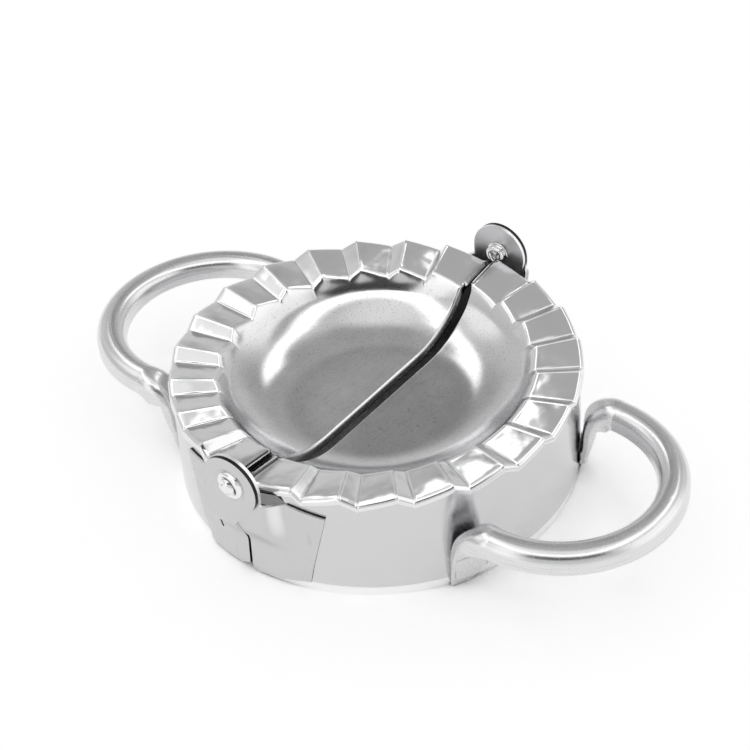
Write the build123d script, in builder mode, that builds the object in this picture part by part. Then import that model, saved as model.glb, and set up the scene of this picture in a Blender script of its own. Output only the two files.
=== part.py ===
"""Hinged empanada press of stainless sheet, modelled in millimetres.

Two identical halves lie flat on the table and fold together about the Y axis.  Each half is a
pleated half-bowl die on a half-round cutter skirt, with a loop handle and two hinge leaves.  The
left half is the right half turned half a turn about Z, and so is everything at the rear hinge.
The origin is at the bottom centre: X runs handle to handle, Y along the hinge, Z up.
"""

from build123d import *
import math
import os

os.makedirs("parts", exist_ok=True)

# ---- crimping die -------------------------------------------------------------------------
die_radius = 48.5          # outside of the rim's turned-down edge
rim_height = 28.9          # mean height of the rim at its outer edge
rim_inner_radius = 37.4    # mean radius where the rim meets the bowl wall
rim_fall = 1.3             # the rim's mean drop from its outer edge to the bowl wall
pleats_per_half = 12
pleat_depth = 2.0          # valley to crest at the outer edge
pleat_rise_share = 0.7     # share of one pleat taken by its wide, rising panel
crease_radius = 1.2        # rounding along each crest and valley
rim_bend = 0.8             # outside radius where the rim turns down
rim_lip = 1.7              # depth of the turned-down edges, outer and straight
die_sheet = 0.6
parting_gap = 1.5          # each die half stops this far from the parting plane
parting_bend = 0.8         # outside radius along its straight edge

# ---- bowl ---------------------------------------------------------------------------------
bowl_depth = 11.4          # from the rim's mean height down to the floor's upper face
wall_slope = 45.0          # degrees from level
bowl_bend = 24.0           # radius between floor and wall

# ---- cutter skirt -------------------------------------------------------------------------
skirt_sheet = 0.6
skirt_gap = 0.3            # each skirt stops this far from the parting plane
seat_gap = 0.1             # between the skirt's top edge and the underside of the rim
bevel_height = 2.6         # ground cutting edge
bevel_land = 0.3           # thickness left at the very edge
notch_depth = 7.4          # the skirt is cut away above this far below the rivet axis
notch_width = 8.4          # to the notch's upper corner
notch_undercut = 2.7       # how far its side leans outwards
clipped_width = 4.6        # corner cut off beside the outer leaf
clipped_height = 3.0

# ---- hinge --------------------------------------------------------------------------------
hinge_rise = 0.5           # rivet axis over the rim's mean height, room for the dough
ear_radius = 7.35
leaf_sheet = 0.8
ear_stand_off = 2.4        # from the rim's outside to the inner ear
ear_gap = 0.1              # between the two ears, and between ears and what the rivet carries
ear_overhang = 0.35        # the leaf's flat part ends this far inside the ear's outline
leaf_step = 4.2            # X run of its step from there in to the skirt
leaf_flare_top = 10.4      # below the rivet axis, the leaf reaches the plane of its ear
leaf_flare_depth = 7.0     # height over which it flares out from the skirt to that plane
leaf_shoulder = 3.2        # its top edge beside the ear, below the rivet axis
leaf_reach = 19.6          # X of the far end of its top edge
outer_leaf_fall = 1.5      # slope of the top edge, over its whole length
inner_leaf_fall = 3.1
leaf_lean = 0.23           # slant of its far end, per unit of height
leaf_bottom = 0.4
leaf_gap = 0.4             # from the parting plane to the leaf's straight edge
leaf_corner = 1.2          # rounding of its lower corner
slit_length = 2.7
slit_width = 0.6
slit_x = 8.2
slit_height = 10.9         # middle of the slit in the outer leaf

# ---- rivet and washer ---------------------------------------------------------------------
rivet_radius = 2.0
rivet_play = 0.08          # radial running clearance in the ear that turns
head_radius = 2.8
head_height = 1.7
head_round = 0.9
dimple_radius = 4.2
dimple_depth = 0.15
tail_radius = 2.5          # flared hollow end
tail_bore = 1.5
tail_depth = 2.4
tail_lip = 0.8
tail_clearance = 0.3       # from the rim's outside to the tail
washer_radius = 2.9
washer_sheet = 0.5
washer_round = 0.15

# ---- handle -------------------------------------------------------------------------------
handle_width = 7.2         # half-round channel, open underneath
handle_depth = 5.2
handle_wall = 1.9          # the straight part of the channel's sides
handle_sheet = 0.9
handle_top = 21.3
foot_angle = 28.8          # degrees from the X axis to the middle of each foot
foot_width = 10.0
foot_corner = 1.8
foot_lean = 0.7            # the elbow starts this far out from the skirt
foot_straight = 7.5        # below this height the foot's back lies on the skirt
foot_bottom = 0.3
elbow_radius = 8.8         # outside radius of the bend over each foot
flange_foot = 0.5          # depth of the foot's flanges at the bottom
flange_slant = 0.25        # how fast they deepen, per unit of height
flange_top = 15.0          # height where they run into the handle's sides
toe_width = 5.0            # the inner half of the foot's end is cut at a slant
toe_rise = 5.0

# ---- worked out from the above ------------------------------------------------------------
pitch = 180.0 / pleats_per_half
narrow_half = pitch * (1 - pleat_rise_share) / 2
rim_apex = rim_height - rim_fall * die_radius / (die_radius - rim_inner_radius)
rim_inner_height = rim_height - rim_fall
bowl_floor = rim_height - bowl_depth
wall_rise = math.tan(math.radians(wall_slope))
skirt_radius = die_radius - die_sheet
hinge_height = rim_height + hinge_rise
inner_ear_face = die_radius + ear_stand_off
outer_ear_face = inner_ear_face + leaf_sheet + ear_gap
ear_flat = ear_radius - ear_overhang
leaf_step_end = ear_flat + leaf_step
flare_end = hinge_height - leaf_flare_top
flare_start = flare_end - leaf_flare_depth
shoulder_height = hinge_height - leaf_shoulder
tail_end = die_radius + tail_clearance
clear = 5.0                # how far cutting and trimming shapes run past the piece


def rim_point(angle, offset, drop):
    """A point on the rim's outer edge at `angle`, `offset` above its mean height."""
    a = math.radians(angle)
    return Vector(die_radius * math.cos(a), die_radius * math.sin(a), rim_height + offset - drop)


def rim_panel(start, start_offset, end, end_offset, drop, inside, outside):
    """One flat panel of the pleated rim, as the solid wedge under it."""
    apex = Vector(0, 0, rim_apex - drop)
    first = rim_point(start, start_offset, drop)
    last = rim_point(end, end_offset, drop)
    a, b = math.radians(start), math.radians(end)
    with BuildPart() as wedge:
        with BuildSketch(Plane.XY.offset(-drop - 1)):
            with BuildLine():
                Polyline(
                    (inside * math.cos(a), inside * math.sin(a)),
                    (outside * math.cos(a), outside * math.sin(a)),
                    (outside * math.cos(b), outside * math.sin(b)),
                    (inside * math.cos(b), inside * math.sin(b)),
                    close=True,
                )
            make_face()
        extrude(amount=rim_height * 2)
        split(bisect_by=Plane(origin=apex, z_dir=(first - apex).cross(last - apex)), keep=Keep.BOTTOM)
    return wedge.part


def die_form(drop, radius):
    """The solid under the right die's upper face, lowered by `drop` and `radius` wide."""
    rise = pleat_depth / 2
    inside = rim_inner_radius - clear
    outside = radius + 2
    first_valley = narrow_half - pitch * (pleats_per_half / 2 + 1)
    with BuildPart() as form:
        for k in range(pleats_per_half + 2):
            valley = first_valley + k * pitch
            crest = valley + pitch * pleat_rise_share
            add(rim_panel(valley, -rise, crest, rise, drop, inside, outside))
            add(rim_panel(crest, rise, valley + pitch, -rise, drop, inside, outside))
        creases = [
            e for e in form.edges().filter_by(GeomType.LINE)
            if e.center().Z > rim_inner_height - drop - 3 and e.length > outside - inside - 1
            and abs(math.degrees(math.atan2(e.center().Y, e.center().X))) < 90 + pitch / 2
        ]
        fillet(creases, radius=crease_radius)
        core_radius = inside + 1
        core_height = rim_inner_height - (rim_inner_radius - core_radius) * wall_rise + 1.5
        with Locations((0, 0, -drop - 1)):
            Cylinder(core_radius, core_height, align=(Align.CENTER, Align.CENTER, Align.MIN))
        with BuildSketch(Plane.XZ):
            floor = bowl_floor - drop
            corner = rim_inner_radius - (rim_inner_height - bowl_floor) / wall_rise
            wall_top = rim_inner_height - drop + (radius - rim_inner_radius) * wall_rise
            with BuildLine():
                FilletPolyline((0, floor), (corner, floor), (radius, wall_top), radius=bowl_bend)
                Polyline((radius, wall_top), (radius, -drop - 0.5), (0, -drop - 0.5), (0, floor))
            make_face()
        revolve(axis=Axis.Z, mode=Mode.INTERSECT)
    return form.part


def on_rim_edge(edge, radius, lowest):
    """Whether an edge runs along the outer edge of the pleats."""
    ends = (edge @ 0, edge @ 1)
    return all(abs(math.hypot(p.X, p.Y) - radius) < 0.01 and p.Z > lowest for p in ends)


def on_parting_edge(edge):
    """Whether an edge runs along the top of a die's straight side."""
    ends = (edge @ 0, edge @ 0.5, edge @ 1)
    return all(abs(p.X - parting_gap) < 0.001 and p.Z > bowl_floor - 0.01 for p in ends)


def write_pair(name, twin_name, part):
    """Write a piece, and its twin half a turn round."""
    part.label = name
    export_step(part, f"parts/{name}.step")
    twin = part.rotate(Axis.Z, 180)
    twin.label = twin_name
    export_step(twin, f"parts/{twin_name}.step")


# ---- die: a pleated rim round a half bowl, pressed from one sheet ---------------------------
upper_form = die_form(0, die_radius)
under_form = die_form(die_sheet, die_radius - die_sheet)
lip_form = die_form(rim_lip, die_radius + 1)
lowest_rim = rim_height - pleat_depth / 2 - 0.5

with BuildPart() as hollow:
    add(under_form)
    split(bisect_by=Plane.YZ.offset(parting_gap + die_sheet), keep=Keep.TOP)

with BuildPart() as right_die:
    add(upper_form)
    fillet([e for e in right_die.edges() if on_rim_edge(e, die_radius, lowest_rim)], radius=rim_bend)
    split(bisect_by=Plane.YZ.offset(parting_gap), keep=Keep.TOP)
    fillet([e for e in right_die.edges() if on_parting_edge(e)], radius=parting_bend)
    add(hollow.part, mode=Mode.SUBTRACT)
    add(lip_form, mode=Mode.SUBTRACT)

write_pair("right_die", "left_die", right_die.part)

# ---- skirt: a half-round band whose ground lower edge cuts the dough ------------------------
with BuildPart() as right_skirt:
    inner = skirt_radius - skirt_sheet
    over_rim = rim_height + clear
    with BuildSketch(Plane.XZ):
        with BuildLine():
            Polyline(
                (inner, 0),
                (inner + bevel_land, 0),
                (skirt_radius, bevel_height),
                (skirt_radius, over_rim),
                (inner, over_rim),
                close=True,
            )
        make_face()
    revolve(axis=Axis.Z)
    add(die_form(die_sheet + seat_gap, die_radius + 1), mode=Mode.INTERSECT)
    split(bisect_by=Plane.YZ.offset(skirt_gap), keep=Keep.TOP)
    with BuildSketch(Plane.XZ):
        with BuildLine():
            Polyline(
                (0, hinge_height - notch_depth),
                (notch_width + notch_undercut, hinge_height - notch_depth),
                (notch_width + notch_undercut, shoulder_height - 1.2),
                (notch_width, lowest_rim - die_sheet),
                (notch_width, over_rim),
                (0, over_rim),
                close=True,
            )
        make_face()
    extrude(amount=die_radius + clear, both=True, mode=Mode.SUBTRACT)
    with BuildSketch(Plane.XZ):
        with BuildLine():
            Polyline((0, 0), (clipped_width, 0), (0, clipped_height), close=True)
        make_face()
    extrude(amount=-die_radius, mode=Mode.SUBTRACT)

write_pair("right_skirt", "left_skirt", right_skirt.part)


# ---- hinge leaves: an ear on a plate that lies on the skirt and flares out to the ear --------
def leaf_side(radius, ear_y, flat_end, step_end, flare):
    """One side of a leaf's plan, from the parting plane to its far end: flat, step, seated."""
    def plan_point(x):
        seated_y = -math.sqrt(radius**2 - x**2)
        return (x, seated_y + (-ear_y - seated_y) * flare)

    step_angle = math.degrees(math.acos(step_end / radius))
    flat_angle = math.degrees(math.acos(flat_end / radius))
    end_angle = math.degrees(math.acos((leaf_reach + 2) / radius))
    seated = CenterArc((0, 0), radius, -step_angle, step_angle - end_angle)
    if flare == 0:
        flat = CenterArc((0, 0), radius, -90, 90 - flat_angle)
        step = CenterArc((0, 0), radius, -flat_angle, flat_angle - step_angle)
        return [flat, step, seated]
    if flare == 1:
        flat = Line(plan_point(0), plan_point(flat_end))
    else:
        flat = ThreePointArc(plan_point(0), plan_point(flat_end / 2), plan_point(flat_end))
    step = Spline(flat @ 1, seated @ 0, tangents=[flat % 1, seated % 0])
    return [flat, step, seated]


def leaf_plan(height, ear_face, flare):
    """A leaf's section at `height`; flare is 0 where it lies on the skirt and 1 at its ear."""
    lap = leaf_sheet * 0.4
    near = leaf_side(skirt_radius, ear_face, ear_flat - lap, leaf_step_end - lap, flare)
    far = leaf_side(skirt_radius + leaf_sheet, ear_face + leaf_sheet, ear_flat, leaf_step_end, flare)
    ends = [Line(near[0] @ 0, far[0] @ 0), Line(near[2] @ 1, far[2] @ 1)]
    plan = Face(Wire(near + far + ends))
    return plan.moved(Location((0, 0, height)))


def leaf_blank(ear_face, bore_radius, top_fall):
    """A right-hand leaf of the front hinge, with the hole in its ear."""
    ear_plane = Plane(origin=(0, -ear_face, hinge_height), x_dir=(1, 0, 0), z_dir=(0, -1, 0))
    steps = 4
    flares = [(k / steps) ** 2 * (3 - 2 * k / steps) for k in range(steps + 1)]
    plans = [
        leaf_plan(flare_start + leaf_flare_depth * k / steps, ear_face, flares[k])
        for k in range(steps + 1)
    ]
    far_foot = leaf_reach - leaf_lean * (shoulder_height - top_fall - leaf_bottom)
    away = math.acos(ear_radius / math.hypot(leaf_gap, leaf_flare_top))
    touch = -math.pi / 2 - away
    with BuildPart() as leaf:
        extrude(leaf_plan(0, ear_face, 0), amount=flare_start, dir=(0, 0, 1))
        loft(plans)
        extrude(plans[-1], amount=leaf_flare_top, dir=(0, 0, 1))
        with BuildSketch(Plane.XZ):
            with BuildLine():
                Polyline(
                    (leaf_gap, flare_end),
                    (0, hinge_height),
                    (ear_radius, hinge_height),
                    (ear_radius, shoulder_height),
                    (leaf_reach, shoulder_height - top_fall),
                    (far_foot, leaf_bottom),
                    (leaf_gap, leaf_bottom),
                    close=True,
                )
            make_face()
        extrude(amount=die_radius + 2 * clear, mode=Mode.INTERSECT)
        with BuildSketch(ear_plane):
            Circle(ear_radius)
            with BuildLine():
                Polyline(
                    (0, 0),
                    (ear_radius * math.cos(touch), ear_radius * math.sin(touch)),
                    (leaf_gap, -leaf_flare_top),
                    (ear_flat, -leaf_flare_top),
                    (ear_flat, 0),
                    close=True,
                )
            make_face()
        extrude(amount=leaf_sheet)
        with BuildSketch(ear_plane):
            Circle(bore_radius)
        extrude(amount=leaf_sheet, mode=Mode.SUBTRACT)
    return leaf.part


with BuildPart() as front_outer_leaf:
    add(leaf_blank(outer_ear_face, rivet_radius, outer_leaf_fall))
    dimple_face = Plane(origin=(0, -outer_ear_face - leaf_sheet, hinge_height), z_dir=(0, -1, 0))
    with BuildSketch(dimple_face):
        Circle(dimple_radius)
    extrude(amount=-dimple_depth, taper=45, mode=Mode.SUBTRACT)
    with BuildSketch(Plane.XZ):
        with Locations((slit_x, slit_height)):
            SlotOverall(slit_length, slit_width, rotation=90)
    extrude(amount=die_radius + 2 * clear, mode=Mode.SUBTRACT)
    with BuildSketch(Plane.XZ):
        with BuildLine():
            Polyline((0, 0), (clipped_width, 0), (0, clipped_height), close=True)
        make_face()
    extrude(amount=die_radius + 2 * clear, mode=Mode.SUBTRACT)
    mirror(about=Plane.YZ, mode=Mode.REPLACE)

with BuildPart() as front_inner_leaf:
    add(leaf_blank(inner_ear_face, rivet_radius + rivet_play, inner_leaf_fall))
    lower_corner = [
        e for e in front_inner_leaf.edges().filter_by(Axis.Y)
        if abs(e.center().X - leaf_gap) < 0.01 and abs(e.center().Z - leaf_bottom) < 0.01
    ]
    fillet(lower_corner, radius=leaf_corner)

write_pair("front_outer_leaf", "rear_outer_leaf", front_outer_leaf.part)
write_pair("front_inner_leaf", "rear_inner_leaf", front_inner_leaf.part)

# ---- rivet: domed head, plain shank, hollow flared tail --------------------------------------
head_seat = outer_ear_face + leaf_sheet - dimple_depth
washer_seat = inner_ear_face - ear_gap
axis_plane = Plane(origin=(0, 0, hinge_height), x_dir=(0, 1, 0), z_dir=(1, 0, 0))
with BuildPart() as front_rivet:
    with BuildSketch(axis_plane):
        with BuildLine():
            Polyline(
                (-tail_end, 0),
                (-tail_end, tail_radius),
                (-tail_end - tail_lip, tail_radius),
                (-tail_end - tail_lip - (tail_radius - rivet_radius), rivet_radius),
                (-head_seat, rivet_radius),
                (-head_seat, head_radius),
                (-head_seat - head_height, head_radius),
                (-head_seat - head_height, 0),
                close=True,
            )
        make_face()
    revolve(axis=Axis((0, 0, hinge_height), (0, 1, 0)))
    fillet(front_rivet.edges().filter_by(GeomType.CIRCLE).sort_by(Axis.Y)[0], radius=head_round)
    with BuildSketch(Plane(origin=(0, -tail_end, hinge_height), z_dir=(0, 1, 0))):
        Circle(tail_bore)
    extrude(amount=-tail_depth, mode=Mode.SUBTRACT)

with BuildPart() as front_washer:
    with BuildSketch(Plane(origin=(0, -washer_seat, hinge_height), z_dir=(0, 1, 0))):
        Circle(washer_radius)
        Circle(rivet_radius, mode=Mode.SUBTRACT)
    extrude(amount=washer_sheet)
    outer_edges = front_washer.edges().filter_by(GeomType.CIRCLE).sort_by(SortBy.RADIUS)[-2:]
    fillet(outer_edges, radius=washer_round)

write_pair("front_rivet", "rear_rivet", front_rivet.part)
write_pair("front_washer", "rear_washer", front_washer.part)


# ---- handle: a half-round channel loop on two bent feet --------------------------------------
def channel(plane, width, corner):
    """The handle strip's section: a channel open underneath, its back level with the plane."""
    half = width / 2
    bore = half - handle_sheet
    with BuildSketch(plane) as section:
        with BuildLine():
            FilletPolyline(
                (-half, -handle_depth), (-half, 0), (half, 0), (half, -handle_depth), radius=corner
            )
            Line((half, -handle_depth), (bore, -handle_depth))
            FilletPolyline(
                (bore, -handle_depth),
                (bore, -handle_sheet),
                (-bore, -handle_sheet),
                (-bore, -handle_depth),
                radius=corner - handle_sheet,
            )
            Line((-bore, -handle_depth), (-half, -handle_depth))
        make_face()
    return section.sketch.face()


def foot_section(radius, height):
    """The strip's section across a foot, standing upright at `radius`."""
    a = math.radians(foot_angle)
    plane = Plane(
        origin=(radius * math.cos(a), -radius * math.sin(a), height),
        x_dir=(math.sin(a), math.cos(a), 0),
        z_dir=(0, 0, 1),
    )
    return channel(plane, foot_width, foot_corner)


def elbow_section(bend):
    """The strip's section at `bend` degrees round the elbow, as it turns along X in plan."""
    b = math.radians(bend)
    foot = math.radians(foot_angle)
    heading = -foot * math.cos(b)
    plan_radius = elbow_radius / foot
    start = skirt_radius + foot_lean
    plane = Plane(
        origin=(
            start * math.cos(foot) + plan_radius * (math.sin(foot) + math.sin(heading)),
            -start * math.sin(foot) - plan_radius * (math.cos(heading) - math.cos(foot)),
            handle_top - elbow_radius * (1 - math.sin(b)),
        ),
        x_dir=(-math.sin(heading), math.cos(heading), 0),
        z_dir=(math.cos(heading) * math.sin(b), math.sin(heading) * math.sin(b), math.cos(b)),
    )
    share = bend / 90
    width = foot_width + (handle_width - foot_width) * share
    corner = foot_corner + (handle_depth - handle_wall - foot_corner) * share
    return channel(plane, width, corner), plane.origin


loop_section, loop_start = elbow_section(90)
foot_turn = math.radians(foot_angle)
foot_out = Vector(math.cos(foot_turn), -math.sin(foot_turn), 0)
foot_across = Vector(math.sin(foot_turn), math.cos(foot_turn), 0)

with BuildPart() as handle_end:
    standing = foot_section(skirt_radius, foot_straight)
    extrude(standing, amount=foot_straight - foot_bottom, dir=(0, 0, -1))
    loft([standing] + [elbow_section(bend)[0] for bend in (0, 30, 60, 90)])
    with BuildSketch(Plane(origin=(0, 0, 0), x_dir=foot_out, z_dir=-foot_across)):
        flange = skirt_radius + flange_foot
        far = skirt_radius + foot_lean + elbow_radius
        with BuildLine():
            Polyline(
                (flange, foot_bottom),
                (flange + flange_slant * (flange_top - foot_bottom), flange_top),
                (far, flange_top),
                (far, foot_bottom - 1),
                (flange, foot_bottom - 1),
                close=True,
            )
        make_face()
    extrude(amount=foot_width, both=True, mode=Mode.SUBTRACT)
    with BuildSketch(Plane(origin=(0, 0, 0), x_dir=foot_across, z_dir=foot_out)):
        with BuildLine():
            Polyline(
                (foot_width / 2 - toe_width, foot_bottom),
                (foot_width / 2 + 1, foot_bottom + toe_rise * (1 + 1 / toe_width)),
                (foot_width / 2 + 1, foot_bottom - 1),
                (foot_width / 2 - toe_width, foot_bottom - 1),
                close=True,
            )
        make_face()
    extrude(amount=die_radius + 2 * clear, mode=Mode.SUBTRACT)

with BuildPart() as right_handle:
    add(handle_end.part)
    mirror(about=Plane.XZ)
    revolve(loop_section, axis=Axis((loop_start.X, 0, 0), (0, 0, 1)), revolution_arc=180)

write_pair("right_handle", "left_handle", right_handle.part)
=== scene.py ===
"""Hinged empanada press of stainless sheet, in metres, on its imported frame."""

import math

import bmesh
import bpy
from mathutils import Matrix, Vector
from mathutils.geometry import delaunay_2d_cdt


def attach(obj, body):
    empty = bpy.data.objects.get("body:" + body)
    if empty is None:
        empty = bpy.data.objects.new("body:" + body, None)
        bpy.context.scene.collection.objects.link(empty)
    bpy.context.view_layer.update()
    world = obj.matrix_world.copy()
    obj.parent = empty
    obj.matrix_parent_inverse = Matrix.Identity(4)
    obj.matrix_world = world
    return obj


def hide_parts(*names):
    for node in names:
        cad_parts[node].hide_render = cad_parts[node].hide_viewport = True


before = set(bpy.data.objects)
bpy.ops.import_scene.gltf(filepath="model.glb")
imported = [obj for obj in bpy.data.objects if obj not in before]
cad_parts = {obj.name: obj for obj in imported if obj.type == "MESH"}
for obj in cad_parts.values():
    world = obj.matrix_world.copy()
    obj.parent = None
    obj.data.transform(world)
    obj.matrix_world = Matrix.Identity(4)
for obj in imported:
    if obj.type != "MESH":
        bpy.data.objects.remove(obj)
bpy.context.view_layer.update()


# ---- view ----------------------------------------------------------------------------------
# A long lens looks down on the open press from the right of its front hinge.
def new_object(name, data):
    """A new object of the scene."""
    made = bpy.data.objects.new(name, data)
    bpy.context.collection.objects.link(made)
    return made


turn, tilt, roll = (math.radians(v) for v in (39.5003, 39.0857, -3.81985))
aim, distance = Vector((-0.00334838, 0.00364146, 0.0206879)), 0.475298
focal_pixels, picture_pixels, sensor_width = 2000, 750, 36

back = Vector((math.sin(turn) * math.cos(tilt), -math.cos(turn) * math.cos(tilt), math.sin(tilt)))
level = Vector((math.cos(turn), math.sin(turn), 0))
upright = back.cross(level)
side = level * math.cos(roll) + upright * math.sin(roll)
top = upright * math.cos(roll) - level * math.sin(roll)
placed = Matrix((side, top, back)).transposed().to_4x4()
placed.translation = aim + back * distance
camera = new_object("camera", bpy.data.cameras.new("camera"))
camera.matrix_world = placed
camera.data.lens = focal_pixels * sensor_width / picture_pixels
camera.data.clip_start = 0.01
bpy.context.scene.camera = camera
bpy.context.scene.view_settings.view_transform = "Standard"


# ---- table and studio -----------------------------------------------------------------------
# White paper lies under the press in a white room. Where the press shuts the paper in, its colour
# and glow are painted dark as shade, but for a painted patch of light by the notch under the front
# hinge.
class Wire:
    """A socket of a node tree that can be used in Python expressions."""

    def __init__(self, tree, socket=None):
        self.tree, self.socket = tree, socket

    def node(self, kind, settings=(), inputs=(), output=0):
        """The output of a new node, whose inputs may be wires or plain values."""
        made = self.tree.nodes.new(kind)
        for name, value in dict(settings).items():
            setattr(made, name, value)
        for name, value in dict(inputs).items():
            if isinstance(value, Wire):
                self.tree.links.new(value.socket, made.inputs[name])
            else:
                made.inputs[name].default_value = value
        return Wire(self.tree, made.outputs[output] if made.outputs else None)

    def math(self, operation, *values):
        """The result of a sum, a root or the like on wires or plain values."""
        return self.node("ShaderNodeMath", {"operation": operation}, enumerate(values))

    def __add__(self, other):
        return self.math("ADD", self, other)

    def __sub__(self, other):
        return self.math("SUBTRACT", self, other)

    def __rsub__(self, other):
        return self.math("SUBTRACT", other, self)

    def __mul__(self, other):
        return self.math("MULTIPLY", self, other)

    def __truediv__(self, other):
        return self.math("DIVIDE", self, other)

    __radd__ = __add__
    __rmul__ = __mul__

    def unsigned(self):
        """This value without its sign."""
        return self.math("ABSOLUTE", self)

    def parts(self):
        """The X, Y and Z of this vector."""
        made = self.node("ShaderNodeSeparateXYZ", {}, {0: self}).socket.node
        return [Wire(self.tree, socket) for socket in made.outputs]

    def between(self, low, high):
        """0 up to `low`, 1 from `high`, straight in between; either may be a wire."""
        return self.node("ShaderNodeMapRange", {}, {0: self, 1: low, 2: high, 3: 0.0, 4: 1.0})

    def eased(self, low, high):
        """0 up to `low`, 1 from `high`, eased in between."""
        return self.node(
            "ShaderNodeMapRange",
            {"interpolation_type": "SMOOTHSTEP"},
            {0: self, 1: low, 2: high, 3: 0.0, 4: 1.0},
        )

    def towards(self, other, share):
        """This value moved towards another by a share of the way."""
        return self + (other - self) * share


def blank_material(name):
    """A material whose node tree is empty, and that tree."""
    material = bpy.data.materials.new(name)
    material.use_nodes = True
    material.node_tree.nodes.clear()
    return material, Wire(material.node_tree)


def seen_directly(tree):
    """1 for rays from the lens, straight or by a mirror or glass, and 0 for soft light."""
    rays = ("Is Camera Ray", "Is Glossy Ray", "Is Transmission Ray")
    camera_ray, glossy_ray, clear_ray = (tree.node("ShaderNodeLightPath", output=ray) for ray in rays)
    return tree.math("MAXIMUM", camera_ray, tree.math("MAXIMUM", glossy_ray, clear_ray))


def grey(tree, value, tint=1.0):
    """A colour from a value, a little bluer or warmer by the tint."""
    return tree.node("ShaderNodeCombineColor", {}, {0: value, 1: value, 2: value * tint})


white = (1, 1, 1, 1)
soft_light = 0.55
world = bpy.data.worlds.new("studio")
world.use_nodes = True
world.node_tree.nodes.clear()
room = Wire(world.node_tree)
room_light = soft_light + seen_directly(room) * (1 - soft_light)
white_room = room.node("ShaderNodeBackground", {}, {"Color": white, "Strength": room_light})
room.node("ShaderNodeOutputWorld", {}, {"Surface": white_room})
bpy.context.scene.world = world

table_reach = 3
table_corners = [(x * table_reach, y * table_reach, 0) for x, y in ((-1, -1), (1, -1), (1, 1), (-1, 1))]
table = new_object("table", bpy.data.meshes.new("table"))
table.data.from_pydata(table_corners, [], [(0, 1, 2, 3)])

# where the paper is shut in, its colour falls to the shut tone: painted shade
open_tone, painted_shade_tone = 0.9, 0.1
open_glow, painted_notch_glow = 0.52, 0.2
notch_spot = (-0.0125, -0.0285, 0)
paper, page = blank_material("paper")
open_air = page.node("ShaderNodeAmbientOcclusion", {"samples": 8}, {"Distance": 0.05}, "AO")
open_page = open_air.eased(0.16, 0.45)
matt = page.node(
    "ShaderNodeBsdfPrincipled",
    {},
    {
        "Base Color": grey(page, painted_shade_tone + (open_tone - painted_shade_tone) * open_page),
        "Roughness": 1.0,
        "Specular IOR Level": 0.0,
    },
)
page_place = page.node("ShaderNodeNewGeometry")
from_notch = page.node(
    "ShaderNodeVectorMath", {"operation": "DISTANCE"}, {0: page_place, 1: notch_spot}, "Value"
)
# a painted patch of light on the shut-in paper by the notch
painted_notch_light = 1 - from_notch.eased(0.004, 0.010)
page_light = seen_directly(page) * (open_page * open_glow + (1 - open_page) * painted_notch_light * painted_notch_glow)
page_glow = page.node("ShaderNodeEmission", {}, {"Color": white, "Strength": page_light})
lit = page.node("ShaderNodeAddShader", {}, {0: matt, 1: page_glow})
page.node("ShaderNodeOutputMaterial", {}, {"Surface": lit})
table.data.materials.append(paper)

# A cloth tent stands round the press, seen only in the steel: grey at the back, with a ring of
# soft light across its roof and lit cloth at both sides and in front.
tent_radius = 1.5
tent_mesh = bpy.data.meshes.new("light_tent")
builder = bmesh.new()
bmesh.ops.create_icosphere(builder, subdivisions=4, radius=tent_radius)
builder.to_mesh(tent_mesh)
builder.free()
tent = new_object("light_tent", tent_mesh)
cloth, tree = blank_material("tent_cloth")
cloth.cycles.emission_sampling = "NONE"
direction = tree.node("ShaderNodeTexCoord", {}, {}, "Object")
direction = tree.node("ShaderNodeVectorMath", {"operation": "NORMALIZE"}, {0: direction})
east, north, up = direction.parts()
elevation = tree.math("DEGREES", tree.math("ARCSINE", up))
outward = tree.math("MAXIMUM", tree.math("SQRT", east * east + north * north), 0.001)


def degrees_apart(cosine):
    """The angle of a cosine, kept just short of 1, where rounding could pass it."""
    return tree.math("DEGREES", tree.math("ARCCOSINE", cosine * 0.99999))


def aside(heading):
    """Degrees round the tent from a heading, 0 to 180."""
    a = math.radians(heading)
    return degrees_apart((east * math.cos(a) + north * math.sin(a)) / outward)


def off(heading, raised):
    """Degrees over the cloth from a point at a heading, `raised` degrees up."""
    a, b = math.radians(heading), math.radians(raised)
    point = Vector((math.cos(a) * math.cos(b), math.sin(a) * math.cos(b), math.sin(b)))
    return degrees_apart(
        tree.node("ShaderNodeVectorMath", {"operation": "DOT_PRODUCT"}, {0: direction, 1: point}, "Value")
    )


back_side, left_side = aside(121), aside(-150)
glow = 0.7 - 0.24 * (1 - back_side.eased(28, 58)) * elevation.eased(14, 30)
glow = glow.towards(0.32, 1 - off(133, 39).eased(6, 16))
glow = glow.towards(1.0, 1 - off(-100, 84).eased(10, 22))
# glow, heading, and the degrees over which it fades: to both sides, downwards and upwards
cloths = (
    (1.25, -150, (10, 30), (24, 34), (46, 56)),
    (1.25, 30, (20, 45), (-5, 5), (42, 48)),
    (0.55, 30, (25, 45), (43, 47), (53, 57)),
    (0.05, -50, (33, 42), (28, 34), (52, 55)),
    (1.3, -100, (8, 18), (-30, -10), (60, 70)),
)
for cloth_glow, heading, sideways, downwards, upwards in cloths:
    covered = (1 - aside(heading).eased(*sideways)) * elevation.eased(*downwards)
    glow = glow.towards(cloth_glow, covered * (1 - elevation.eased(*upwards)))
ring_height = 61 - (1 - back_side.eased(24, 75)) * 17 + (1 - left_side.eased(20, 50)) * 2
ring = (1 - (elevation - ring_height).unsigned().eased(4.5, 8.5)) * back_side.eased(21, 27)
glow = glow.towards(1.9, ring)
tent_glow = tree.node("ShaderNodeEmission", {}, {"Color": white, "Strength": glow})
tree.node("ShaderNodeOutputMaterial", {}, {"Surface": tent_glow})
tent.data.materials.append(cloth)
for ray in ("camera", "diffuse", "transmission", "volume_scatter", "shadow"):
    setattr(tent, "visible_" + ray, False)

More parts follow.
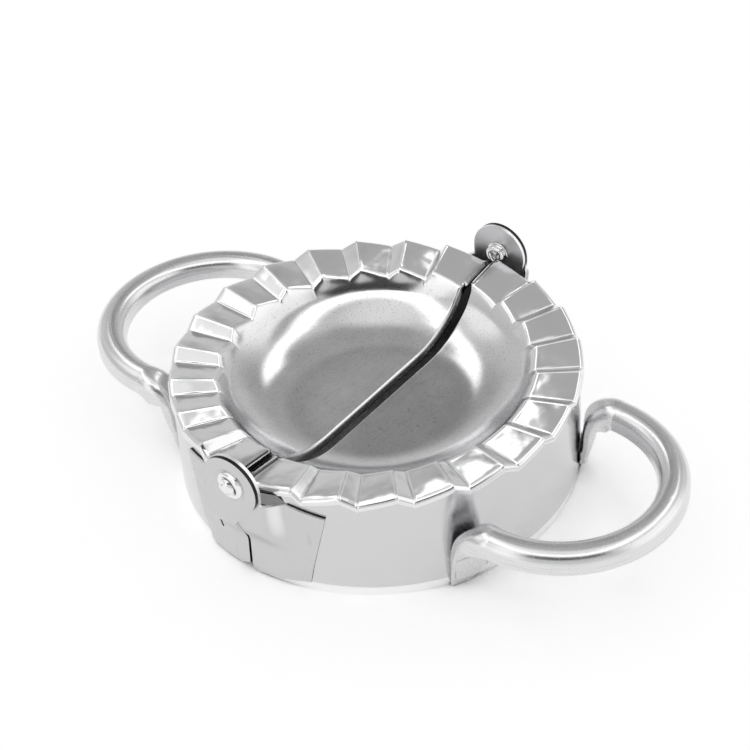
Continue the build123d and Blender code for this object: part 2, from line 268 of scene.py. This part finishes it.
# ---- dies ----------------------------------------------------------------------------------
# Each half is one sheet, pressed to a half bowl inside a rim of saw-tooth pleats, with its
# edges turned down. It is welded to the skirt under the rim.
pressed = bpy.data.node_groups.new("pressed_die", "GeometryNodeTree")
pressed_sizes = {
    "Rim Radius": 48.5,
    "Rim Height": 28.9,
    "Rim Fall": 1.3,
    "Inner Radius": 37.4,
    "Pleat Pitch": 15.0,
    "Pleat Depth": 2.0,
    "Rise Share": 0.7,
    "End Stretch": 0.15,
    "Crease Blend": 0.5,
    "Crease Bead": 0.16,
    "Bead Width": 0.45,
    "Neck Blend": 2.6,
    "Panel Crown": 0.2,
    "Bowl Floor": 17.5,
    "Wall Slope": 1.0,
    "Bowl Bend": 24.0,
    "Wall Curl": 0.13,
    "Parting Gap": 1.05,
    "Edge Bend": 0.6,
    "Rim Roll": 1.3,
    "Lip Depth": 1.7,
    "Facing": 1.0,
}
pressed.interface.new_socket("Geometry", in_out="OUTPUT", socket_type="NodeSocketGeometry")
for name, value in pressed_sizes.items():
    made = pressed.interface.new_socket(name, in_out="INPUT", socket_type="NodeSocketFloat")
    made.default_value = value
pressed.interface.new_socket("Steel", in_out="INPUT", socket_type="NodeSocketMaterial")
group_in = pressed.nodes.new("NodeGroupInput")
size = {name: Wire(pressed, group_in.outputs[name]) for name in list(pressed_sizes) + ["Steel"]}
work = Wire(pressed)

# rows run out from the parting plane over bowl, wall and neck to the rim, crowded at the neck,
# and columns run along the rim, crowded at the creases
crease_columns, wide_columns, narrow_columns, pleat_count = 6, 8, 4, 12
pleat_columns = 4 * crease_columns + wide_columns + narrow_columns
bowl_rows, wall_rows, neck_rows, rim_rows = 32, 2, 20, 8
neck_row = bowl_rows + wall_rows
rim_row = neck_row + neck_rows
rows = rim_row + rim_rows
flat_sheet = work.node(
    "GeometryNodeMeshGrid",
    {},
    {"Size X": 1.0, "Size Y": 1.0, "Vertices X": pleat_columns * pleat_count + 1, "Vertices Y": rows + 1},
)
grid_x, grid_y, _ = work.node("GeometryNodeInputPosition").parts()
column = grid_x * pleat_columns * pleat_count
row = (grid_y + 0.5) * rows
share = size["Rise Share"]
pitch = work.math("RADIANS", size["Pleat Pitch"])


def bulge(value, start, middle, end):
    """1 at `middle`, falling straight to 0 at `start` and `end`."""
    return value.between(start, middle) - value.between(middle, end)


# where each column lies, counted in pleats from the middle of the rim
crowded = 0.05
pleat = work.math("FLOOR", column / pleat_columns)
step = column - pleat * pleat_columns
spans = (
    (crease_columns, crowded),
    (wide_columns, share - 2 * crowded),
    (2 * crease_columns, 2 * crowded),
    (narrow_columns, 1 - share - 2 * crowded),
    (crease_columns, crowded),
)
along, passed = pleat, 0
for columns, width in spans:
    along = along + step.between(passed, passed + columns) * width
    passed += columns

# the panels beside both hinges are stretched towards the rest
ends = pleat_count / 2
stretch = size["End Stretch"]
front_crest, rear_valley = share - ends, ends - 1
along = (
    along
    + stretch * bulge(along, -ends, front_crest, 1 - ends)
    - stretch * bulge(along, ends - 2 + share, rear_valley, ends - 1 + share)
)
valley = (1 - share) / 2
angle = (along + valley) * pitch

# the sheet before its edges are turned down: both bends need room inside the final outline
neck = size["Inner Radius"]
bend_line = size["Rim Radius"] - size["Rim Roll"]
lip_turn = math.radians(65)
lip_fall = size["Lip Depth"] - size["Edge Bend"] * (1 - math.cos(lip_turn))
lip_run = size["Edge Bend"] * math.sin(lip_turn) + lip_fall / math.tan(lip_turn)
straight_x = size["Parting Gap"] + lip_run
last_angle = work.math("ARCCOSINE", straight_x / bend_line)
angle = work.math("MINIMUM", work.math("MAXIMUM", angle, 0 - last_angle), last_angle)
wall_inside, wall_width, neck_width = 3.1, 1.3, 3.6
neck_outside = wall_width + neck_width - wall_inside
reach = (
    neck
    - wall_inside
    + row.between(bowl_rows, neck_row) * wall_width
    + row.between(neck_row, rim_row) * neck_width
    + row.between(rim_row, rows) * (bend_line - neck - neck_outside)
)
angle = angle * work.math("ARCCOSINE", straight_x / reach) / last_angle
plan_x = straight_x + (reach * work.math("COSINE", angle) - straight_x) * row.between(0, bowl_rows)
plan_y = reach * work.math("SINE", angle)

# on the rim the straight edges stand nearer each other than across the bowl
closing, closing_fade = 1.5, 4
reach_squared = plan_x * plan_x + plan_y * plan_y
on_flat = plan_y.unsigned().between(neck - 1, neck + 0.5)
plan_x = plan_x - closing * on_flat * (1 - (plan_x - straight_x).between(0, closing_fade))
plan_y = work.math("SIGN", plan_y) * work.math("SQRT", reach_squared - plan_x * plan_x)

# the place of each point in its pleat, 0 and 1 at the valleys and `share` at the crest
reach = work.math("SQRT", plan_x * plan_x + plan_y * plan_y)
bearing = work.math("ARCTAN2", plan_y, plan_x) / pitch - valley
bearing = (
    bearing
    - stretch * bulge(bearing, -ends, front_crest + stretch, 1 - ends)
    + stretch * bulge(bearing, ends - 2 + share, rear_valley - stretch, ends - 1 + share)
)
phase = bearing - work.math("FLOOR", bearing)

# the rim: a saw-tooth wave with blended creases, crowned panels and a bead along each crease
swell = size["Pleat Depth"] / 2 * reach / size["Rim Radius"]
soft = size["Crease Blend"] / swell
wave = work.math("SMOOTH_MIN", phase * 2 / share - 1, 1 - (phase - share) * 2 / (1 - share), soft)
wave = work.math("SMOOTH_MAX", wave, 0 - 1 - phase * 2 / (1 - share), soft)
wave = work.math("SMOOTH_MAX", wave, (phase - 1) * 2 / share - 1, soft)
slope = size["Rim Fall"] / (size["Rim Radius"] - neck)
on_wide = work.math("MINIMUM", phase / share, 1)
on_narrow = work.math("MAXIMUM", (phase - share) / (1 - share), 0)
on_rim = reach.between(neck + 1, bend_line)
domed = (on_wide * (1 - on_wide) + on_narrow * (1 - on_narrow) / 2) * on_rim * (1 - on_rim)
crown = domed * 16 * size["Panel Crown"]  # each share times its rest is at most a quarter
rim = size["Rim Height"] - (size["Rim Radius"] - reach) * slope + swell * wave + crown
arc = pitch * reach / size["Bead Width"]
beads = (((phase - share).unsigned(), 1), (work.math("MINIMUM", phase, 1 - phase), -1))
for from_crease, upwards in beads:
    near = work.math("MINIMUM", from_crease * arc, 1)
    raised = 1 - near * near
    rim = rim + raised * raised * size["Crease Bead"] * upwards

# the bowl: a floor, a bend and a wall that curls up into the neck
floor_widened, curl_inside = 0.45, 3.5
knee = neck - (size["Rim Height"] - size["Rim Fall"] - size["Bowl Floor"]) / size["Wall Slope"]
lean = work.math("ARCTANGENT", size["Wall Slope"])
bend_start = knee - size["Bowl Bend"] * work.math("TANGENT", lean / 2) + floor_widened
bend_reach = size["Bowl Bend"] * work.math("SINE", lean)
bent = work.math("MINIMUM", work.math("MAXIMUM", reach - bend_start, 0), bend_reach)
bowl = (
    size["Bowl Floor"]
    + size["Bowl Bend"]
    - work.math("SQRT", size["Bowl Bend"] * size["Bowl Bend"] - bent * bent)
    + work.math("MAXIMUM", reach - bend_start - bend_reach, 0) * size["Wall Slope"]
)
curled = work.math("MAXIMUM", reach - neck + curl_inside, 0)
bowl = bowl + curled * curled * size["Wall Curl"]

# the sheet's height is the lower of the rim and the bowl, blended where they meet
sheet_height = work.math("SMOOTH_MIN", rim, bowl, size["Neck Blend"])
shaped = work.node("ShaderNodeCombineXYZ", {}, {0: plan_x, 1: plan_y, 2: sheet_height})
formed = work.node("GeometryNodeSetPosition", {}, {"Geometry": flat_sheet, "Position": shaped})
formed = work.node("GeometryNodeMergeByDistance", {}, {"Geometry": formed, "Distance": 0.001})

# its edges are turned down a little at a time
bends, falls = 8, 2
close_by = 0.001
edge_x, edge_y, _ = work.node("GeometryNodeInputPosition").parts()
edge_reach = work.math("SQRT", edge_x * edge_x + edge_y * edge_y)
at_straight = work.math("LESS_THAN", edge_x, straight_x + close_by)
at_round = work.math("GREATER_THAN", edge_reach, bend_line - close_by)
on_flat = edge_y.unsigned().between(neck - 1, neck + 0.5)
away_x, away_y = edge_x / edge_reach * at_round, edge_y / edge_reach * at_round
faces_beside = work.node("GeometryNodeInputMeshEdgeNeighbors")
loose = work.math("LESS_THAN", faces_beside, 1.5)


def bend_step(radius, whole_turn, k):
    """How far out and how far down step k of a bend goes."""
    start, stop = whole_turn * k / bends, whole_turn * (k + 1) / bends
    return radius * (math.sin(stop) - math.sin(start)), radius * (math.cos(start) - math.cos(stop))


for k in range(bends + falls):
    if k < bends:
        rim_out, rim_down = bend_step(size["Rim Roll"], math.pi / 2, k)
        lip_out, lip_down = bend_step(size["Edge Bend"], lip_turn, k)
    else:
        rim_out, rim_down = 0, (size["Lip Depth"] - size["Rim Roll"]) / falls
        lip_down = lip_fall / falls
        lip_out = lip_down / math.tan(lip_turn)
    pulled = work.node(
        "GeometryNodeExtrudeMesh",
        {"mode": "EDGES"},
        {"Mesh": formed, "Selection": loose, "Offset Scale": 0.0},
    )
    loose = Wire(pressed, pulled.socket.node.outputs["Top"])
    move_x = away_x * rim_out - at_straight * lip_out * (1 - on_flat * closing / lip_run)
    move_y = away_y * rim_out
    down = at_round * (1 - at_straight) * rim_down + at_straight * lip_down
    moved = work.node("ShaderNodeCombineXYZ", {}, {0: move_x, 1: move_y, 2: 0 - down})
    formed = work.node(
        "GeometryNodeSetPosition", {}, {"Geometry": pulled, "Selection": loose, "Offset": moved}
    )

# from millimetres to metres, and half a turn round for the left die
metre = 0.001
turned = size["Facing"] * metre
spun = work.node("ShaderNodeCombineXYZ", {}, {0: turned, 1: turned, 2: metre})
spun_place = work.node(
    "ShaderNodeVectorMath", {"operation": "MULTIPLY"}, {0: work.node("GeometryNodeInputPosition"), 1: spun}
)
formed = work.node("GeometryNodeSetPosition", {}, {"Geometry": formed, "Position": spun_place})
formed = work.node("GeometryNodeFlipFaces", {}, {"Mesh": formed})
formed = work.node("GeometryNodeSetShadeSmooth", {}, {"Geometry": formed})
formed = work.node("GeometryNodeSetMaterial", {}, {"Geometry": formed, "Material": size["Steel"]})
group_out = pressed.nodes.new("NodeGroupOutput")
pressed.links.new(formed.socket, group_out.inputs["Geometry"])


def steel(tree, bright, roughness, relief, relief_depth, tint=1.01):
    """Ends a steel's node tree with its shader; the relief is `relief_depth` deep, in metres."""
    bump = tree.node("ShaderNodeBump", {}, {"Strength": 1.0, "Distance": relief_depth, "Height": relief})
    shader = tree.node(
        "ShaderNodeBsdfPrincipled",
        {},
        {
            "Base Color": grey(tree, bright, tint),
            "Metallic": 1.0,
            "Roughness": roughness,
            "Normal": bump,
        },
    )
    tree.node("ShaderNodeOutputMaterial", {}, {"Surface": shader})


def noise(where, scale, detail=2.0):
    """Mottling, `scale` patches to the metre."""
    return where.node("ShaderNodeTexNoise", {}, {"Vector": where, "Scale": scale, "Detail": detail}, "Fac")


def stretched(where, x, y, z):
    """The place on a piece, measured with its own scale along each axis."""
    return where.node("ShaderNodeVectorMath", {"operation": "MULTIPLY"}, {0: where, 1: (x, y, z)})


def on_piece(tree):
    """The place on a piece at rest, whole and as X, Y and Z."""
    where = tree.node("ShaderNodeTexCoord", {}, {}, "Object")
    return [where] + where.parts()


def thickened(blank, thickness):
    """The mesh of a sheet that has `blank`, which is used up, as its upper face."""
    wall = blank.modifiers.new("sheet", "SOLIDIFY")
    wall.thickness = thickness
    wall.offset = -1
    shown = blank.evaluated_get(bpy.context.evaluated_depsgraph_get())
    mesh = bpy.data.meshes.new_from_object(shown)
    bpy.data.objects.remove(blank)
    return mesh


# Bright annealed sheet: mirror-like on the rim, where the tool has rubbed it, and satin in the
# bowl, with the grain that rolling left and the faint ripples that pressing leaves. The turned
# down straight edges are painted dark as shade where they face each other closely, and the bowl's
# floor is painted lighter on the left die and darker on the right, as a painted reflection.
die_steel, skin = blank_material("die_steel")
where, x, y, _ = on_piece(skin)
from_middle = skin.math("SQRT", x * x + y * y)
in_bowl = 1 - from_middle.eased(0.0345, 0.0375)
on_floor = 1 - from_middle.eased(0.012, 0.026)
on_right = x.eased(-0.001, 0.001)
on_lip = 1 - x.unsigned().eased(0.0015, 0.00165)
open_air = skin.node("ShaderNodeAmbientOcclusion", {"samples": 4}, {"Distance": 0.01}, "AO")
# painted shade on the turned down straight edges where they face each other across the gap
painted_gap_shade = 1 - open_air.eased(0.8, 0.97)
grain = noise(stretched(where, 1, 0.03, 1), 3500)
cloudy = noise(where, 90, 3.0)
speckle = noise(where, 2600, 1.0)
ripple = noise(where, 150, 1.5)
# the bowl floor is painted lighter on the left die than on the right: a painted reflection
bright = (
    0.8
    - 0.14 * in_bowl
    + (0.05 + 0.16 * in_bowl) * (cloudy - 0.5)
    + 0.05 * (grain - 0.5) * in_bowl
    - 0.16 * speckle.eased(0.6, 0.72) * in_bowl
    + on_floor * (0.15 - 0.19 * on_right)
)
bright = bright * (1 - 0.9 * painted_gap_shade * on_lip)
rough = (
    0.17
    - 0.02 * in_bowl
    + 0.07 * on_floor
    + 0.05 * (cloudy - 0.5)
    + 0.08 * (grain - 0.5) * in_bowl
)
steel(skin, bright, rough, ripple * (1 - in_bowl * 0.94) + grain * in_bowl * 0.0025, 0.0004)

die_sheet = 0.0006
for side_name, facing in (("right", 1.0), ("left", -1.0)):
    blank = new_object(side_name + "_blank", bpy.data.meshes.new(side_name + "_blank"))
    press = blank.modifiers.new("press", "NODES")
    press.node_group = pressed
    for item in pressed.interface.items_tree:
        if item.name == "Facing":
            press[item.identifier] = facing
        if item.name == "Steel":
            press[item.identifier] = die_steel
    die = new_object(side_name + "_pressed_die", thickened(blank, die_sheet))
    die.data.set_sharp_from_angle(angle=math.radians(50))
    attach(die, side_name + "_half")
    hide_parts(side_name + "_die")


# ---- skirts --------------------------------------------------------------------------------
# Each half stands on a half-round band of sheet, brushed along its length, whose lower edge is
# ground to a bevel that cuts the dough; the bevel is painted brighter, for its ground finish and
# as a painted highlight. Its end faces at the parting are painted dark as shade.
def coat(name, material):
    """Gives a node of the frame its material."""
    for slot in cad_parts[name].material_slots:
        slot.material = material


skirt_steel, skin = blank_material("skirt_steel")
where, x, _, z = on_piece(skin)
grain = noise(stretched(where, 0.04, 0.04, 1), 4500)
cloudy = noise(where, 60, 3.0)
stain = noise(where, 240).eased(0.70, 0.82)
# the bottom bevel is painted brighter: its ground finish and a painted highlight
ground_bevel_and_highlight = 1 - z.eased(0.0025, 0.0027)
# the band's end faces at the parting are painted dark as shade
painted_end_shade = 1 - x.unsigned().between(0.00032, 0.00036)
bright = 0.66 + 0.04 * (cloudy - 0.5) + 0.02 * (grain - 0.5) - 0.12 * stain + 0.25 * ground_bevel_and_highlight
bright = bright.towards(0.04, painted_end_shade)
rough = 0.19 + 0.06 * (cloudy - 0.5) + 0.04 * (grain - 0.5)
steel(skin, bright, rough, cloudy + grain * 0.01, 0.00004)
for side_name in ("right", "left"):
    coat(side_name + "_skirt", skirt_steel)

# ---- handles -------------------------------------------------------------------------------
# Each is one strip rolled to a half-round channel, bent to a loop and polished, and its two feet
# are spot welded to the skirt. The polishing streaks run round the loop.
loop_middle, streak_length = 0.05102, 0.0012
handle_steel, skin = blank_material("handle_steel")
where, x, y, z = on_piece(skin)
loop_x = x.unsigned() - loop_middle
round_loop = skin.math("SQRT", loop_x * loop_x + y * y)
loop_turn = skin.math("ARCTAN2", y, loop_x)
on_strip = skin.node("ShaderNodeCombineXYZ", {}, {0: round_loop, 1: z, 2: loop_turn * streak_length})
streaks = noise(on_strip, 2200)
pitted = noise(where, 1400)
cloudy = noise(where, 110, 3.0)
bright = 0.74 + 0.06 * (cloudy - 0.5) - 0.1 * pitted.eased(0.66, 0.78) + 0.22 * (streaks - 0.5)
rough = 0.25 + 0.1 * (cloudy - 0.5) + 0.1 * pitted.eased(0.6, 0.8) + 0.1 * (streaks - 0.5)
steel(skin, bright, rough, cloudy + pitted * 0.06 + streaks * 0.3, 0.00005)
for side_name in ("right", "left"):
    coat(side_name + "_handle", handle_steel)

# ---- hinge leaves --------------------------------------------------------------------------
# Four plates of dull sheet with an ear each, cut in a press; their edges are painted bright as a
# highlight, and dark as shade in places.
# They are spot welded to the skirts and step out to the two planes in which the ears turn.
# Sizes are in millimetres, as on a leaf of the front hinge, seen from the front.
hinge_axis = 29.4
ear_radius, leaf_sheet, seat_radius = 7.348, 0.8, 47.9
shoulder, step_end = hinge_axis - 3.2, 11.2
flare_start, flare_end = 10.0, 19.0
slit_x, slit_z, slit_half, slit_round = 8.2, 10.9, 1.05, 0.36
dish_depth, dish_floor, dish_edge = 0.3, 3.7, 4.5
leaf_pitch = 0.7

# edges are painted dark as shade only round the ears' outer faces, beyond the step where they lie
# against the skirt, beside the gap between two leaves and in the slit
hinge_steel, skin = blank_material("hinge_steel")
where, x, y, z = on_piece(skin)
_, facing_y, _ = skin.node("ShaderNodeTexCoord", {}, {}, "Normal").parts()
cut_edge = 1 - facing_y.unsigned().eased(0.45, 0.75)
above_axis = z - hinge_axis / 1000
from_axis = skin.math("SQRT", x * x + above_axis * above_axis)
ear_edge = from_axis.between(0.0069, 0.0072) * (1 - from_axis.between(0.0074, 0.0077))
in_front = y.unsigned().eased(0.05172, 0.05178)
beyond_step = x.unsigned().eased(0.0106, 0.0112)
off_skirt = skin.math("SQRT", x * x + y * y) - seat_radius / 1000
proud = off_skirt.between(0.00025, 0.0004)
beside_gap = (1 - x.unsigned().between(0.0009, 0.0012)) * (1 - z.between(0.0122, 0.0127))
off_slit = (x.unsigned() - slit_x / 1000).unsigned()
in_slit = (1 - off_slit.between(0.0006, 0.0009)) * (1 - z.between(0.0135, 0.014))
# these edges are painted dark as shade
painted_edge_shade = skin.math("MAXIMUM", ear_edge * in_front, beyond_step * (1 - proud))
painted_edge_shade = skin.math("MAXIMUM", painted_edge_shade, skin.math("MAXIMUM", beside_gap, in_slit))
grain = noise(stretched(where, 1, 1, 0.05), 3800)
cloudy = noise(where, 80, 3.0)
scuffs = noise(stretched(where, 1, 1, 0.35), 420).eased(0.68, 0.78)
bright = 0.64 + 0.05 * (cloudy - 0.5) + 0.05 * (grain - 0.5) - 0.05 * scuffs
# edge faces are painted bright as a highlight, and dark as shade where marked above
bright = bright.towards(0.9 - 0.87 * painted_edge_shade, cut_edge)
rough = 0.4 + 0.08 * (cloudy - 0.5) + 0.08 * (grain - 0.5)
steel(skin, bright, rough, cloudy + grain * 0.03, 0.00004)


def metres(x, y, z):
    """A place in metres from one in millimetres."""
    return (x / 1000, y / 1000, z / 1000)


def ear_arc(low_x, low_z):
    """The ear's edge from the tangent through a low point, over its top, to its own side."""
    reach = math.hypot(low_x, hinge_axis - low_z)
    start = -math.pi / 2 - math.acos(ear_radius / reach)
    count = 56
    turns = [start - (start + 2 * math.pi) * k / count for k in range(count + 1)]
    return [(ear_radius * math.cos(a), hinge_axis + ear_radius * math.sin(a)) for a in turns]


def ring_of(radius, count):
    """Points on a circle about the hinge's axis."""
    turns = [2 * math.pi * k / count for k in range(count)]
    return [(radius * math.cos(a), hinge_axis + radius * math.sin(a)) for a in turns]


def stepped_off(outline):
    """An outline with more points on its long runs."""
    points = []
    for (x0, z0), (x1, z1) in zip(outline, outline[1:] + outline[:1]):
        parts = max(1, round(math.hypot(x1 - x0, z1 - z0) / leaf_pitch))
        points += [(x0 + (x1 - x0) * k / parts, z0 + (z1 - z0) * k / parts) for k in range(parts)]
    return points


def inside(loop, x, z):
    """Whether a point lies within a closed loop."""
    crossings = 0
    for (x0, z0), (x1, z1) in zip(loop, loop[1:] + loop[:1]):
        if (z0 > z) != (z1 > z) and x < x0 + (z - z0) / (z1 - z0) * (x1 - x0):
            crossings += 1
    return crossings % 2 == 1


def blank_of(outline, holes, rings):
    """A sheet cut to an outline and pierced: its points in the plane and its triangles."""
    edge = stepped_off(outline)
    points, edges = [], []
    for loop in [edge] + holes:
        start = len(points)
        points += loop
        edges += [(start + k, start + (k + 1) % len(loop)) for k in range(len(loop))]
    for ring in rings:
        points += ring

    def on_sheet(x, z):
        return inside(edge, x, z) and not any(inside(hole, x, z) for hole in holes)

    fixed, spacing = list(points), 0.55 * leaf_pitch
    low_x, high_x = min(x for x, z in edge), max(x for x, z in edge)
    low_z, high_z = min(z for x, z in edge), max(z for x, z in edge)
    for j in range(int((high_z - low_z) / leaf_pitch) + 1):
        for i in range(int((high_x - low_x) / leaf_pitch) + 1):
            x = low_x + (i + 0.5 * (j % 2)) * leaf_pitch
            z = low_z + j * leaf_pitch
            if on_sheet(x, z) and min((x - a) ** 2 + (z - b) ** 2 for a, b in fixed) > spacing**2:
                points.append((x, z))
    flat, _, cut, *_ = delaunay_2d_cdt([Vector(p) for p in points], edges, [], 0, 1e-6)
    middles = [[sum(flat[k][axis] for k in face) / len(face) for axis in (0, 1)] for face in cut]
    return flat, [face for face, middle in zip(cut, middles) if on_sheet(*middle)]


def eased(value, low, high):
    """0 up to `low`, 1 from `high`, eased in between."""
    share = min(max((value - low) / (high - low), 0), 1)
    return share * share * (3 - 2 * share)


def leaf_surface(x, z, ear_face):
    """Y of a leaf's outer face: on the skirt below, in its ear's plane above."""
    at_foot = 1 - eased(z, 0.4, 3.0)
    at_far_corner = eased(x, 9.0, 14.5) * (1 - eased(z, 3.0, 8.0))
    ground = 0.55 * max(at_foot, at_far_corner)
    seated = -math.sqrt((seat_radius + leaf_sheet - ground) ** 2 - x * x)
    share = eased(z, flare_start, flare_end)
    if z < shoulder:
        share *= 1 - eased(abs(x), ear_radius, step_end + 0.25 * max(0, 22 - z))
    return seated + (-ear_face - leaf_sheet - seated) * share


def cut_leaf(name, flat, cut, ear_face, side, turned):
    """A leaf's mesh: its own `side` is 1 to the right, and `turned` -1 puts it at the rear."""
    builder = bmesh.new()
    for x, z in flat:
        builder.verts.new(metres(side * turned * x, turned * leaf_surface(x, z, ear_face), z))
    builder.verts.ensure_lookup_table()
    for face in cut:
        builder.faces.new([builder.verts[k] for k in face]).smooth = True
    bmesh.ops.recalc_face_normals(builder, faces=builder.faces)
    if sum(face.normal.y * face.calc_area() for face in builder.faces) * turned > 0:
        bmesh.ops.reverse_faces(builder, faces=builder.faces)
    mesh = bpy.data.meshes.new(name + "_cut")
    builder.to_mesh(mesh)
    builder.free()
    return thickened(new_object(name + "_blank", mesh), leaf_sheet / 1000)


def dish(mesh, ear_face):
    """Sinks the ear's outer face round the rivet."""
    for vertex in mesh.vertices:
        x, y, z = (v * 1000 for v in vertex.co)
        if abs(y) > ear_face + leaf_sheet - 0.01:
            sunk = dish_depth * (1 - eased(math.hypot(x, z - hinge_axis), dish_floor, dish_edge))
            vertex.co.y -= math.copysign(sunk / 1000, y)


near_edge, outer_closed, inner_closed = 0.05, 17.8, 19.0
shoulder_start = (7.35, shoulder)
outer_outline = (
    [(0.38, 2.8), (near_edge, 12.0), (near_edge, outer_closed)]
    + ear_arc(near_edge, outer_closed)
    + [shoulder_start, (19.6, 24.7), (14.1, 0.9), (3.9, 0.9)]
)
rounded = [k * math.pi / 12 for k in range(5, 0, -1)]
inner_outline = (
    [(0.37, 3.0), (0.62, 12.2), (near_edge, 12.7), (near_edge, inner_closed)]
    + ear_arc(near_edge, inner_closed)
    + [shoulder_start, (19.6, 23.1), (14.9, 2.6), (10.0, 2.2), (5.0, 1.2), (1.5, 0.5)]
    + [(1.5 - 1.13 * math.cos(a), 1.7 - 1.2 * math.sin(a)) for a in rounded]
)
slit = []
for slit_end, turns in ((slit_z + slit_half, range(0, 181, 30)), (slit_z - slit_half, range(180, 361, 30))):
    for a in map(math.radians, turns):
        slit.append((slit_x + slit_round * math.cos(a), slit_end + slit_round * math.sin(a)))
dish_rings = [ring_of(radius, 64) for radius in (3.4, 3.7, 3.9, 4.1, 4.3, 4.5, 4.8)]
edge_break = 0.00008
# each layer's outline, holes, rings of points, ear face, own side and body at each end
leaves = {
    "outer": (outer_outline, [ring_of(2.0, 32), slit], dish_rings, 51.8, -1, ("left_half", "right_half")),
    "inner": (inner_outline, [ring_of(2.08, 32)], [], 50.9, 1, ("right_half", "left_half")),
}
for layer, (outline, holes, rings, ear_face, side, bodies) in leaves.items():
    flat, cut = blank_of(outline, holes, rings)
    for end, turned, body in zip(("front", "rear"), (1, -1), bodies):
        name = end + "_" + layer + "_leaf"
        mesh = cut_leaf(name, flat, cut, ear_face, side, turned)
        if layer == "outer":
            dish(mesh, ear_face)
        mesh.set_sharp_from_angle(angle=math.radians(40))
        leaf = new_object(name + "_plate", mesh)
        leaf.data.materials.append(hinge_steel)
        eased_edge = leaf.modifiers.new("eased_edge", "BEVEL")
        eased_edge.width = edge_break
        eased_edge.segments = 2
        eased_edge.limit_method = "ANGLE"
        eased_edge.angle_limit = math.radians(50)
        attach(leaf, body)
        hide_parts(name)

# ---- rivets --------------------------------------------------------------------------------
# A hollow rivet with a peened, lumpy head pins each pair of ears, with a thin washer inside and
# its tail flared over it. Sizes are in millimetres, as on the front rivet, from its axis.
head_seat, head_edge, head_top, head_lip = 52.4, 3.5, 1.72, 0.05
crown_x, crown_z, crown_radius = -0.55, -0.35, 2.35
groove_turn = math.radians(38)
rivet_columns, head_rings = 84, 33
bore_end = 51.2

# the groove round one side of the crown is painted dark as shade
rivet_steel, skin = blank_material("rivet_steel")
where, x, y, z = on_piece(skin)
across = x * skin.math("SIGN", 0 - y) - crown_x / 1000
upward = z - (hinge_axis + crown_z) / 1000
from_crown = skin.math("SQRT", across * across + upward * upward)
in_groove = 1 - (from_crown - 0.0024).unsigned().eased(0.00015, 0.00042)
shaded_side = (across * 0.79 + upward * 0.61).eased(0.0002, 0.0014)
outer_end = y.unsigned().between(0.0523, 0.0524)
# painted shade in the groove on one side of the crown
painted_groove_shade = in_groove * shaded_side * outer_end
lumps = noise(where, 420, 1.5)
fine = noise(where, 2500)
bright = 0.85 + 0.08 * (lumps - 0.5) - 0.8 * painted_groove_shade
rough = 0.14 + 0.1 * (fine - 0.5) + 0.3 * painted_groove_shade
steel(skin, bright, rough, lumps + fine * 0.02, 0.0002, tint=1.0)
for name in ("front_washer", "rear_washer"):
    coat(name, rivet_steel)

# the hammer's marks on the head: place, width and how far each raises it
blows = (
    (2.2, 1.5, 0.8, 0.2),
    (-1.1, 0.9, 0.4, -0.35),
    (-1.9, -0.3, 0.7, 0.15),
    (0.3, -1.9, 0.6, -0.3),
    (1.6, -2.0, 0.7, -0.3),
)
# the head's edge, the shank, the flared tail and the bore: radius and depth
lathed = (
    (head_edge, head_seat + head_lip), (head_edge, 52.3),
    (2.0, 52.3), (2.0, 50.1), (2.15, 49.75), (2.5, 49.6),
    (2.5, 49.0), (2.35, 48.8), (1.65, 48.8), (1.5, 48.95), (1.5, bore_end),
)


def head_surface(x, z):
    """The depth of the head's face: a mushroomed crown in a collar, hammered over."""
    out = math.hypot(x, z) / head_edge
    collar = 0.95 * math.sqrt(max(0, 1 - out**3))
    away = math.hypot(x - crown_x, z - crown_z)
    crown = 1.6 * max(0, 1 - (away / crown_radius) ** 2) ** 0.5
    groove = math.exp(-(((away - crown_radius - 0.05) / 0.3) ** 2))
    on_side = eased(math.cos(math.atan2(z - crown_z, x - crown_x) - groove_turn), 0.0, 0.7)
    high = max(collar, crown) - 0.75 * groove * on_side
    for a, b, width, lift in blows:
        high += lift * math.exp(-((x - a) ** 2 + (z - b) ** 2) / width**2) * (1 - out**4)
    return head_seat + min(max(high, head_lip + 0.1 * (1 - out)), head_top)


def rivet_point(builder, turned, x, z, depth):
    """A point beside the rivet's axis, `depth` out from the press's middle."""
    return builder.verts.new(metres(turned * x, -turned * depth, hinge_axis + z))


def rivet_ring(builder, turned, radius, depth_at):
    """A ring of points round the rivet's axis, each as deep as `depth_at` says."""
    ring = []
    for k in range(rivet_columns):
        a = 2 * math.pi * k / rivet_columns
        x, z = radius * math.cos(a), radius * math.sin(a)
        ring.append(rivet_point(builder, turned, x, z, depth_at(x, z)))
    return ring


def peened_rivet(name, turned):
    """A rivet's mesh, where `turned` -1 puts it at the rear."""
    builder = bmesh.new()
    tip = rivet_point(builder, turned, 0, 0, head_surface(0, 0))
    rings = []
    for j in range(1, head_rings):
        radius = head_edge * math.sin(math.pi / 2 * j / head_rings)
        rings.append(rivet_ring(builder, turned, radius, head_surface))
    for radius, depth in lathed:
        rings.append(rivet_ring(builder, turned, radius, lambda x, z: depth))
    bottom = rivet_point(builder, turned, 0, 0, bore_end)
    for k in range(rivet_columns):
        n = (k + 1) % rivet_columns
        builder.faces.new((tip, rings[0][k], rings[0][n]))
        builder.faces.new((bottom, rings[-1][n], rings[-1][k]))
        for upper, lower in zip(rings, rings[1:]):
            builder.faces.new((upper[k], lower[k], lower[n], upper[n]))
    bmesh.ops.recalc_face_normals(builder, faces=builder.faces)
    if builder.calc_volume(signed=True) < 0:
        bmesh.ops.reverse_faces(builder, faces=builder.faces)
    for face in builder.faces:
        face.smooth = True
    mesh = bpy.data.meshes.new(name)
    builder.to_mesh(mesh)
    builder.free()
    mesh.set_sharp_from_angle(angle=math.radians(60))
    return mesh


for end, turned, body in (("front", 1, "left_half"), ("rear", -1, "right_half")):
    name = end + "_peened_rivet"
    rivet = new_object(name, peened_rivet(name, turned))
    rivet.data.materials.append(rivet_steel)
    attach(rivet, body)
    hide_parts(end + "_rivet")
